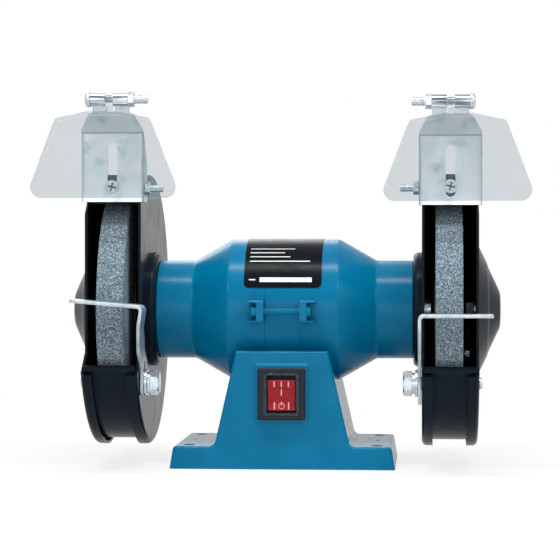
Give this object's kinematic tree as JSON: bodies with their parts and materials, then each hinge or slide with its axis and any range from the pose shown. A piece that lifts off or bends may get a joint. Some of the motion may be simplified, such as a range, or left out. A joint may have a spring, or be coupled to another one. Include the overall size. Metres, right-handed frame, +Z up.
{
  "type": "bench grinder",
  "caption": "Twin-wheel bench grinder with a cast base, round motor housing, guarded wheels, adjustable tool rests and hinged clear eye shields.",
  "frame": {"origin": "middle of the base's underside, at the centre of the four bench bolt holes", "axes": "+Z up, -Y towards the operator, +X to the operator's right along the motor shaft"},
  "size_m": [0.2936, 0.179, 0.2234],
  "materials": {
    "blue_paint": "glossy enamel over a fine cast grain",
    "black_paint": "glossy black enamel on pressed steel",
    "abrasive": "grey speckled vitrified grit",
    "zinc_plate": "zinc plated sheet, faintly clouded",
    "bright_steel": "bright plated steel",
    "bearing_steel": "polished",
    "dark_steel": "dark oxide steel",
    "clear_plastic": "clear polycarbonate",
    "black_plastic": "moulded, satin gloss",
    "red_plastic": "translucent red moulding",
    "label_film": "black film, glossy",
    "rubber": "matt black",
    "copper": "enamelled copper wire",
    "brass": "tin bronze blades",
    "can_aluminium": "drawn can"
  },
  "bodies": {
    "frame": {"base_casting": "blue_paint", "bearing_outer_races": "bearing_steel", "bottom_cover": "black_paint", "bottom_cover_screws": "bright_steel", "bracket_nuts": "bright_steel", "bracket_screws": "bright_steel", "capacitor_strap": "bright_steel", "capacitor_strap_screws": "bright_steel", "cord_grommet": "rubber", "cover_nuts": "bright_steel", "cover_screws": "bright_steel", "guard_mount_screws": "bright_steel", "housing_nuts": "blue_paint", "housing_screws": "blue_paint", "left_end_bell": "blue_paint", "left_guard_band": "black_paint", "left_inner_guard": "black_paint", "left_outer_cover": "black_paint", "nameplate": "label_film", "rest_weld_nuts": "bright_steel", "right_end_bell": "blue_paint", "right_guard_band": "black_paint", "right_inner_guard": "black_paint", "right_outer_cover": "black_paint", "run_capacitor": "can_aluminium", "saddle_screws": "bright_steel", "side_bolts": "bright_steel", "side_nuts": "bright_steel", "stator_core": "blue_paint", "stator_windings": "copper", "switch_dust_frame": "clear_plastic", "switch_housing": "black_plastic", "switch_terminals": "brass"},
    "rotor": {"rotor_shaft": "bright_steel", "rotor_core": "dark_steel", "bearing_inner_races": "bearing_steel", "bearing_balls": "bearing_steel", "left_grinding_wheel": "abrasive", "right_grinding_wheel": "abrasive", "inner_flanges": "dark_steel", "outer_flanges": "dark_steel", "wheel_nuts": "dark_steel"},
    "rocker": {"switch_rocker": "red_plastic"},
    "left_bracket_body": {"left_shield_bracket": "zinc_plate", "left_hinge_bolt": "bright_steel", "left_hinge_nut": "bright_steel"},
    "left_shield_body": {"left_eye_shield": "clear_plastic"},
    "left_rest_pivot": {"left_rest_bolt": "bright_steel", "left_rest_washers": "bright_steel"},
    "left_rest_body": {"left_tool_rest": "zinc_plate"},
    "right_bracket_body": {"right_shield_bracket": "zinc_plate", "right_hinge_bolt": "bright_steel", "right_hinge_nut": "bright_steel"},
    "right_shield_body": {"right_eye_shield": "clear_plastic"},
    "right_rest_pivot": {"right_rest_bolt": "bright_steel", "right_rest_washers": "bright_steel"},
    "right_rest_body": {"right_tool_rest": "zinc_plate"}
  },
  "joints": [
    {"name": "rotor_spin", "type": "hinge", "parent": "frame", "child": "rotor", "pos_m": [0, 0, 0.094], "axis": [1, 0, 0], "continuous": true},
    {"name": "rocker_press", "type": "hinge", "parent": "frame", "child": "rocker", "pos_m": [0, -0.045, 0.045], "axis": [-1, 0, 0], "range_deg": [0, 18]},
    {"name": "left_bracket_slide", "type": "slide", "parent": "frame", "child": "left_bracket_body", "axis": [0, 0, 1], "range_m": [-0.014, 0.0008]},
    {"name": "left_shield_swing", "type": "hinge", "parent": "left_bracket_body", "child": "left_shield_body", "pos_m": [-0.09975, -0.06805, 0.2188], "axis": [-1, 0, 0], "range_deg": [0, 110]},
    {"name": "left_rest_tilt", "type": "hinge", "parent": "frame", "child": "left_rest_pivot", "pos_m": [-0.082, -0.054, 0.052], "axis": [1, 0, 0], "range_deg": [-2.5, 15]},
    {"name": "left_rest_slide", "type": "slide", "parent": "left_rest_pivot", "child": "left_rest_body", "axis": [0, 0, 1], "range_m": [-0.0084, 0.0004]},
    {"name": "right_bracket_slide", "type": "slide", "parent": "frame", "child": "right_bracket_body", "axis": [0, 0, 1], "range_m": [-0.012, 0.0028]},
    {"name": "right_shield_swing", "type": "hinge", "parent": "right_bracket_body", "child": "right_shield_body", "pos_m": [0.09975, -0.06805, 0.2168], "axis": [-1, 0, 0], "range_deg": [0, 110]},
    {"name": "right_rest_tilt", "type": "hinge", "parent": "frame", "child": "right_rest_pivot", "pos_m": [0.082, -0.054, 0.052], "axis": [1, 0, 0], "range_deg": [-2.5, 15]},
    {"name": "right_rest_slide", "type": "slide", "parent": "right_rest_pivot", "child": "right_rest_body", "axis": [0, 0, 1], "range_m": [-0.0037, 0.0051]}
  ]
}
